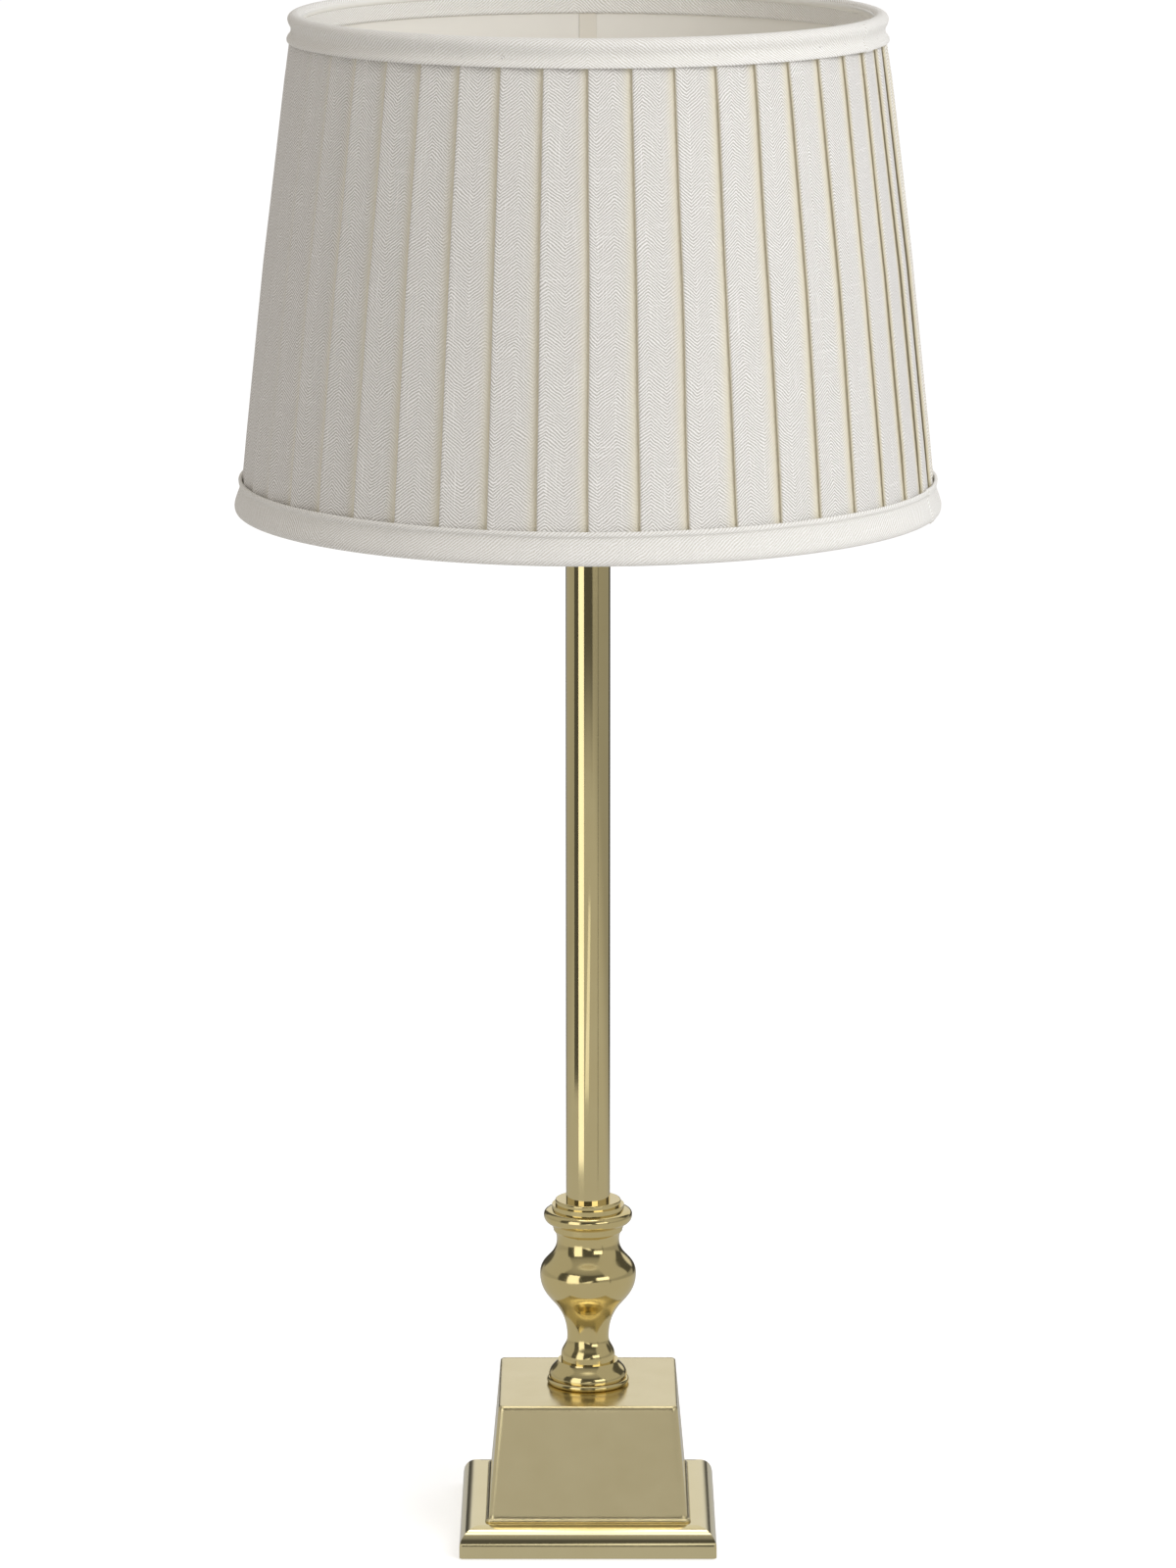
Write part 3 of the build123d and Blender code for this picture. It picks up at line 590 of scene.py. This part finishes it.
def linen(name, light, dark, zigzag, painted_fold_shade=None):
    """Plain cloth of slubby flax thread, whose fine diagonal rib turns back on itself.

    The real thread is about 0.4 mm; the rib is drawn at the coarser pitch that the eye picks up.
    Zigzag is how far the rib runs before it turns back, in millimetres. The fold colour, if given,
    is painted into the folds as shade, with a faint painted glow.
    """
    material, tree = new_material(name)
    shader = tree.nodes["Principled BSDF"]
    cloth = add(tree, "ShaderNodeUVMap", uv_map="cloth_map")
    in_mm = add(tree, "ShaderNodeVectorMath", {
        0: cloth.outputs["UV"], "Scale": 1000.0}, operation="SCALE").outputs[0]
    drift = add(tree, "ShaderNodeTexNoise", {
        "Vector": in_mm, "Scale": drift_waves, "Detail": 2.0})
    drawn = add(tree, "ShaderNodeVectorMath", {
        0: drift.outputs["Color"], 1: weave_drift, 2: in_mm}, operation="MULTIPLY_ADD")
    at = add(tree, "ShaderNodeSeparateXYZ", {0: drawn.outputs[0]}).outputs
    fold_back = add(tree, "ShaderNodeMath", {0: at["X"], 1: zigzag}, operation="PINGPONG")
    slant = add(tree, "ShaderNodeMath", {
        0: fold_back.outputs[0], 1: rib_slant, 2: at["Y"]}, operation="MULTIPLY_ADD")
    phase = add(tree, "ShaderNodeMath", {
        0: slant.outputs[0], 1: 2 * math.pi / rib_pitch}, operation="MULTIPLY")
    ribs = add(tree, "ShaderNodeMath", {0: phase.outputs[0]}, operation="SINE")
    threads = add(tree, "ShaderNodeTexNoise", {
        "Vector": in_mm, "Scale": thread_waves, "Detail": 2.0})
    weft, warp = [
        add(tree, "ShaderNodeTexNoise", {
            "Vector": add(tree, "ShaderNodeMapping", {
                "Vector": in_mm, "Scale": scale}).outputs[0],
            "Scale": 1.0, "Detail": 1.0})
        for scale in (weft_slubs, warp_slubs)]
    slubs = add(tree, "ShaderNodeMath", {
        0: weft.outputs["Fac"], 1: warp.outputs["Fac"]}, operation="MAXIMUM")
    slubs = add(tree, "ShaderNodeMapRange", {
        "Value": slubs.outputs[0], "From Min": slub_share[0], "From Max": slub_share[1]})
    relief = add(tree, "ShaderNodeMath", {
        0: ribs.outputs[0], 1: rib_height, 2: threads.outputs["Fac"]},
        operation="MULTIPLY_ADD")
    relief = add(tree, "ShaderNodeMath", {
        0: slubs.outputs[0], 1: slub_height, 2: relief.outputs[0]}, operation="MULTIPLY_ADD")
    tone = add(tree, "ShaderNodeMapRange", {"Value": relief.outputs[0]})
    colour = add(tree, "ShaderNodeMix", {
        0: tone.outputs["Result"], 6: linear(dark), 7: linear(light)}, data_type="RGBA")
    # Painted shade: the fold attribute mixes a darker beige into the colour where the folds are.
    if painted_fold_shade:
        painted_shade_share = add(tree, "ShaderNodeAttribute", attribute_name="painted_fold_shade")
        colour = add(tree, "ShaderNodeMix", {
            0: painted_shade_share.outputs["Fac"], 6: colour.outputs[2], 7: linear(painted_fold_shade)},
            data_type="RGBA")
        # Painted glow: a faint emission in the same beige, strongest in the folds.
        painted_glow = add(tree, "ShaderNodeMath", {
            0: painted_shade_share.outputs["Fac"], 1: painted_fold_glow}, operation="MULTIPLY")
        tree.links.new(painted_glow.outputs[0], shader.inputs["Emission Strength"])
        shader.inputs["Emission Color"].default_value = linear(painted_fold_shade)
    bump = add(tree, "ShaderNodeBump", {
        "Height": relief.outputs[0], "Distance": weave_depth, "Strength": 1.0})
    tree.links.new(colour.outputs[2], shader.inputs["Base Color"])
    tree.links.new(bump.outputs["Normal"], shader.inputs["Normal"])
    shader.inputs["Roughness"].default_value = 0.9
    shader.inputs["Sheen Weight"].default_value = 0.15
    shader.inputs["Specular IOR Level"].default_value = 0.2
    return material


# E7E1CE is the painted shade colour of the folds.
pleat_linen = linen("pleated_linen", "#FFFDFA", "#BFBCB5", zigzag=rib_turns, painted_fold_shade="#E7E1CE")

wrap = bpy.data.node_groups.new("wrap_pleats", "GeometryNodeTree")
wrap.interface.new_socket("Geometry", in_out="INPUT", socket_type="NodeSocketGeometry")
for socket_name, socket_type in [
        ("Pleats", "NodeSocketInt"), ("Low", "NodeSocketFloat"), ("High", "NodeSocketFloat"),
        ("Low radius", "NodeSocketFloat"), ("Middle radius", "NodeSocketFloat"),
        ("High radius", "NodeSocketFloat"), ("Wander", "NodeSocketFloat"),
        ("Lift", "NodeSocketFloat"), ("Cloth per pleat", "NodeSocketFloat"),
        ("Seed", "NodeSocketInt"), ("Cloth", "NodeSocketMaterial")]:
    wrap.interface.new_socket(socket_name, in_out="INPUT", socket_type=socket_type)
wrap.interface.new_socket("Geometry", in_out="OUTPUT", socket_type="NodeSocketGeometry")
given = add(wrap, "NodeGroupInput").outputs
one = add(wrap, "GeometryNodeGeometryToInstance", {"Geometry": given["Geometry"]})
copies = add(wrap, "GeometryNodeDuplicateElements", {
    "Geometry": one.outputs["Instances"], "Amount": given["Pleats"]}, domain="INSTANCE")
numbered = add(wrap, "GeometryNodeStoreNamedAttribute", {
    "Geometry": copies.outputs["Geometry"], "Name": "pleat",
    "Value": copies.outputs["Duplicate Index"]}, data_type="INT", domain="INSTANCE")
whole = add(wrap, "GeometryNodeRealizeInstances", {"Geometry": numbered.outputs["Geometry"]})

number, lift_value, run_value = [
    add(wrap, "GeometryNodeInputNamedAttribute", {"Name": name},
        data_type=kind).outputs["Attribute"]
    for name, kind in (("pleat", "INT"), ("lift", "FLOAT"), ("cloth_run", "FLOAT"))]
position = add(wrap, "GeometryNodeInputPosition").outputs[0]
at = add(wrap, "ShaderNodeSeparateXYZ", {0: position}).outputs

# Each fold strays a little from its line, most at the fold and not at all at mid panel. It also
# stands open a little, save near the bindings, which hold it down.
from_fold = add(wrap, "ShaderNodeMath", {0: at["X"], 1: 1.0}, operation="SUBTRACT")
from_fold = add(wrap, "ShaderNodeMath", {0: from_fold.outputs[0]}, operation="ABSOLUTE")
hold = add(wrap, "ShaderNodeMapRange", {
    "Value": from_fold.outputs[0], "From Min": 0.5, "From Max": 0.05},
    interpolation_type="SMOOTHSTEP")
seeded = add(wrap, "ShaderNodeMath", {
    0: number, 1: seed_step, 2: given["Seed"]}, operation="MULTIPLY_ADD")
along = add(wrap, "ShaderNodeMath", {0: at["Z"], 1: wander_waves}, operation="MULTIPLY")
where = add(wrap, "ShaderNodeCombineXYZ", {"X": seeded.outputs[0], "Y": along.outputs[0]})
stray = add(wrap, "ShaderNodeTexNoise", {
    "Vector": where.outputs[0], "Scale": 1.0, "Detail": 1.0})
aside = add(wrap, "ShaderNodeMapRange", {
    "Value": stray.outputs["Fac"], "From Min": 0.25, "From Max": 0.75, "To Min": -1.0,
    "To Max": 1.0}, clamp=False)
aside = add(wrap, "ShaderNodeMath", {
    0: aside.outputs["Result"], 1: hold.outputs["Result"]}, operation="MULTIPLY")
aside = add(wrap, "ShaderNodeMath", {
    0: aside.outputs[0], 1: given["Wander"]}, operation="MULTIPLY")
where_up = add(wrap, "ShaderNodeVectorMath", {
    0: where.outputs[0], 1: (0.0, 0.0, lift_seed)}, operation="ADD")
open_up = add(wrap, "ShaderNodeTexNoise", {
    "Vector": where_up.outputs[0], "Scale": 1.0, "Detail": 1.0})
raised = add(wrap, "ShaderNodeMapRange", {
    "Value": open_up.outputs["Fac"], "From Min": 0.3, "From Max": 0.7})
raised = add(wrap, "ShaderNodeMath", {
    0: raised.outputs["Result"], 1: lift_value}, operation="MULTIPLY")
from_middle = add(wrap, "ShaderNodeMath", {0: at["Z"], 1: 0.5}, operation="SUBTRACT")
from_middle = add(wrap, "ShaderNodeMath", {0: from_middle.outputs[0]}, operation="ABSOLUTE")
free = add(wrap, "ShaderNodeMapRange", {
    "Value": from_middle.outputs[0], "From Min": 0.46, "From Max": 0.38},
    interpolation_type="SMOOTHSTEP")
raised = add(wrap, "ShaderNodeMath", {
    0: raised.outputs[0], 1: free.outputs["Result"]}, operation="MULTIPLY")
raised = add(wrap, "ShaderNodeMath", {
    0: raised.outputs[0], 1: given["Lift"]}, operation="MULTIPLY")

# The two tapers of the cone, and the place of every point on it.
height = add(wrap, "ShaderNodeMapRange", {
    "Value": at["Z"], "To Min": given["Low"], "To Max": given["High"]},
    clamp=False).outputs["Result"]
lower = add(wrap, "ShaderNodeMapRange", {
    "Value": at["Z"], "From Max": 0.5, "To Min": given["Low radius"],
    "To Max": given["Middle radius"]})
cone = add(wrap, "ShaderNodeMapRange", {
    "Value": at["Z"], "From Min": 0.5, "To Min": lower.outputs["Result"],
    "To Max": given["High radius"]})
radius = add(wrap, "ShaderNodeMath", {
    0: cone.outputs["Result"], 1: at["Y"]}, operation="ADD")
radius = add(wrap, "ShaderNodeMath", {
    0: radius.outputs[0], 1: raised.outputs[0]}, operation="ADD").outputs[0]
steps = add(wrap, "ShaderNodeMath", {0: at["X"], 1: number}, operation="ADD")
turn = add(wrap, "ShaderNodeMath", {
    0: steps.outputs[0], 1: given["Pleats"]}, operation="DIVIDE")
swung = add(wrap, "ShaderNodeMath", {0: aside.outputs[0], 1: radius}, operation="DIVIDE")
angle = add(wrap, "ShaderNodeMath", {
    0: turn.outputs[0], 1: 2 * math.pi, 2: swung.outputs[0]}, operation="MULTIPLY_ADD")
across = add(wrap, "ShaderNodeMath", {0: angle.outputs[0]}, operation="COSINE")
deep = add(wrap, "ShaderNodeMath", {0: angle.outputs[0]}, operation="SINE")
east = add(wrap, "ShaderNodeMath", {0: across.outputs[0], 1: radius}, operation="MULTIPLY")
north = add(wrap, "ShaderNodeMath", {0: deep.outputs[0], 1: radius}, operation="MULTIPLY")
wrapped = add(wrap, "ShaderNodeCombineXYZ", {
    "X": east.outputs[0], "Y": north.outputs[0], "Z": height})

# The weave follows the cloth: its run in metres along the folds, and its height.
cloth_at = add(wrap, "ShaderNodeMath", {
    0: number, 1: given["Cloth per pleat"], 2: run_value}, operation="MULTIPLY_ADD")
cloth_map = add(wrap, "ShaderNodeCombineXYZ", {"X": cloth_at.outputs[0], "Y": height})
mapped = add(wrap, "GeometryNodeStoreNamedAttribute", {
    "Geometry": whole.outputs["Geometry"], "Name": "cloth_map", "Value": cloth_map.outputs[0]},
    data_type="FLOAT2", domain="CORNER")
placed = add(wrap, "GeometryNodeSetPosition", {
    "Geometry": mapped.outputs["Geometry"], "Position": wrapped.outputs[0]})
joined = add(wrap, "GeometryNodeMergeByDistance", {
    "Geometry": placed.outputs["Geometry"], "Distance": weld_gap})
smooth = add(wrap, "GeometryNodeSetShadeSmooth", {"Geometry": joined.outputs["Geometry"]})
clothed = add(wrap, "GeometryNodeSetMaterial", {
    "Geometry": smooth.outputs["Geometry"], "Material": given["Cloth"]})
add(wrap, "NodeGroupOutput", {"Geometry": clothed.outputs["Geometry"]})


def from_nodes(name, source, group, values):
    """Runs a geometry tree on a source object, and keeps the result as a plain mesh."""
    modifier = source.modifiers.new(group.name, "NODES")
    modifier.node_group = group
    sockets = {item.name: item.identifier for item in group.interface.items_tree
               if item.in_out == "INPUT"}
    for key, value in values.items():
        modifier[sockets[key]] = value
    bpy.context.view_layer.update()
    depsgraph = bpy.context.evaluated_depsgraph_get()
    mesh = bpy.data.meshes.new_from_object(source.evaluated_get(depsgraph), depsgraph=depsgraph)
    mesh.name = name
    made = bpy.data.objects.new(name, mesh)
    scene.collection.objects.link(made)
    bpy.data.objects.remove(source)
    return made


cover = from_nodes("pleated_cover", strip, wrap, {
    "Pleats": pleats, "Low": cover_low, "High": cover_high, "Low radius": radius_low,
    "Middle radius": radius_middle, "High radius": radius_high, "Wander": pleat_wander,
    "Lift": pleat_lift, "Cloth per pleat": pleat_cloth, "Seed": pleat_seed,
    "Cloth": pleat_linen})
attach(cover, "shade")
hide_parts("shade_cover")


# ---- Bindings ----
# Each rim is bound with linen tape, folded over the cover, the wire and the lining. The tape's
# outer edge is turned under, which stands up as a thin ridge, and its two ends overlap in a short
# sewn lap.
tape_thickness = 0.6 * MM
tape_ripple = 0.5 * MM     # how far the roll swells and sinks along the rim
ripple_reach = 0.55        # share of the outline, from the seam, that ripples
ripple_radius = 6.0        # of the circle in the noise that one rim follows
ripple_apart = 9.0         # how far apart the two rims' circles are
lap_length = 9 * MM
lap_rise = 0.45 * MM
lap_reach = 0.6            # share of the outline, from the seam, that the lap lifts
lap_edge = (-0.12, 0.02, 0.16)  # degrees from the lap's end where the ring has more points
bottom_lap, top_lap = 74.0, 65.0  # bearings of the two laps
ring_steps = 300
curve_steps = 3
straight = 400.0           # the tape's rib doesn't turn back for this many millimetres


def curved(points, steps):
    """Smooth line that passes all the points, with a number of steps between each two."""
    line = []
    ends = [points[0], *points, points[-1]]
    for before, start, end, after in zip(ends, ends[1:], ends[2:], ends[3:]):
        for i in range(steps):
            t = i / steps
            line.append([0.5 * (2 * s + (e - b) * t + (2 * b - 5 * s + 4 * e - a) * t ** 2
                                + (3 * s - b - 3 * e + a) * t ** 3)
                         for b, s, e, a in zip(before, start, end, after)])
    return line + [list(points[-1])]


def fold_radius(height):
    """Radius of the pleats' folds at a height, on the two tapers of the cover."""
    if height < cover_middle:
        share = (height - cover_low) / (cover_middle - cover_low)
        return radius_low + (radius_middle - radius_low) * share
    share = (height - cover_middle) / (cover_high - cover_middle)
    return radius_middle + (radius_high - radius_middle) * share


def tape_ring(name, seam, edge, outline, lap_bearing, material):
    """Closed ring of tape between the heights of its seam and its outer edge.

    The outline is (out from the folds, along from seam to edge) in millimetres.
    """
    up = 1 if edge > seam else -1
    line = curved(outline, curve_steps)
    skin = len(line)
    normals = []
    for i in range(skin):
        (x0, y0), (x1, y1) = line[max(i - 1, 0)], line[min(i + 1, skin - 1)]
        long = math.hypot(x1 - x0, y1 - y0)
        normals.append(((y1 - y0) / long, (x0 - x1) / long))
    run = [0.0]
    for (x0, y0), (x1, y1) in zip(line, line[1:]):
        run.append(run[-1] + math.hypot(x1 - x0, y1 - y0))
    middle_radius = fold_radius(seam)
    lap_turn = math.degrees(lap_length / middle_radius)
    bearings = sorted([360 * i / ring_steps for i in range(ring_steps)]
                      + [lap_bearing + step for step in lap_edge])
    rippled = skin * ripple_reach
    points, uvs = [], []
    for bearing in bearings:
        past = (bearing - lap_bearing) % 360
        rise = lap_rise / MM * (1 - past / lap_turn) ** 0.5 if past < lap_turn else 0.0
        spot = Vector(around(ripple_radius, bearing, ripple_apart if up > 0 else 0.0))
        ripple = noise.noise(spot) * tape_ripple / MM
        for inner in (False, True):
            order = range(skin - 1, -1, -1) if inner else range(skin)
            for i in order:
                out, along = line[i]
                swell = ripple * math.sin(math.pi * (i / rippled)) if i < rippled else 0.0
                thick = -tape_thickness / MM if inner else rise * (i < skin * lap_reach)
                out += normals[i][0] * (swell + thick)
                along += normals[i][1] * (swell + thick)
                from_axis = fold_radius(seam + up * line[i][1] * MM) + out * MM
                points.append(around(from_axis, bearing, seam + up * along * MM))
                uvs.append((math.radians(bearing) * middle_radius, run[i] * MM))
    loop = 2 * skin
    count = len(bearings)
    faces = []
    for i in range(count):
        for j in range(loop):
            quad = (i * loop + j, ((i + 1) % count) * loop + j,
                    ((i + 1) % count) * loop + (j + 1) % loop, i * loop + (j + 1) % loop)
            faces.append(quad if up < 0 else quad[::-1])
    ring = new_object(name, points, faces, material)
    layer = ring.data.uv_layers.new(name="cloth_map")
    full_turn = 2 * math.pi * middle_radius
    for face in ring.data.polygons:
        closes_ring = count - 1 in (face.vertices[0] // loop, face.vertices[-1] // loop)
        for corner in face.loop_indices:
            u, v = uvs[ring.data.loops[corner].vertex_index]
            if closes_ring and u < full_turn / 2:
                u += full_turn
            layer.data[corner].uv = (u, v)
    return ring


tape_linen = linen("binding_linen", "#FFFEFB", "#DCD9D0", zigzag=straight)
bottom_outline = [
    (0.2, -0.3), (1.1, -0.5), (1.6, 0.2), (1.5, 1.2), (0.7, 2.0), (0.6, 3.2), (1.0, 5.5),
    (1.7, 8.0), (2.15, 10.2), (2.05, 11.6), (1.3, 12.9), (0.0, 13.45), (-1.5, 13.45),
    (-3.2, 12.8), (-4.3, 11.4), (-4.6, 9.0), (-4.5, 4.0), (-4.5, 0.0)]
top_outline = [
    (0.2, -0.3), (1.0, -0.4), (1.3, 0.3), (1.0, 1.3), (0.3, 2.3), (0.0, 3.8), (0.4, 5.4),
    (1.3, 6.9), (1.9, 8.6), (1.6, 10.1), (0.4, 11.2), (-1.2, 11.5), (-2.7, 11.1), (-3.9, 9.9),
    (-4.4, 8.0), (-4.5, 4.0), (-4.5, 0.0)]
bottom_tape = tape_ring("bottom_tape", seam_low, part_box("bottom_binding")[0].z,
                        bottom_outline, bottom_lap, tape_linen)
top_tape = tape_ring("top_tape", seam_high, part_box("top_binding")[1].z,
                     top_outline, top_lap, tape_linen)
for tape, node in ((bottom_tape, "bottom_binding"), (top_tape, "top_binding")):
    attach(tape, "shade")
    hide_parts(node)


# ---- Bulb ----
# Candle-shaped bulb of opal glass, which is milky under a soft gloss. Its nickel-plated cap has
# the coarse rolled thread and a black glass insulator round the solder contact.
cap_low, cap_high = heights("bulb_cap")
dress(plain_finish("cap_nickel", "#D3D0C8", 0.25, 1.0, 1e-6, thread=(
    lamp_pitch, lamp_depth, cap_low + 1 * MM, cap_high - 4 * MM)), "bulb_cap")
dress(plain_finish("solder", "#B9B8B4", 0.45, 1.0, 20e-6, 500.0), "bulb_contact")
dress(plain_finish("black_glass", "#0B0B0E", 0.08), "bulb_insulator")
opal = plain_finish("opal_glass", "#F4F2EC", 0.3, grain=2e-6, grain_scale=1500.0)
shader = opal.node_tree.nodes["Principled BSDF"]
shader.inputs["Subsurface Weight"].default_value = 0.3
shader.inputs["Subsurface Scale"].default_value = 3 * MM
dress(opal, "bulb_envelope")
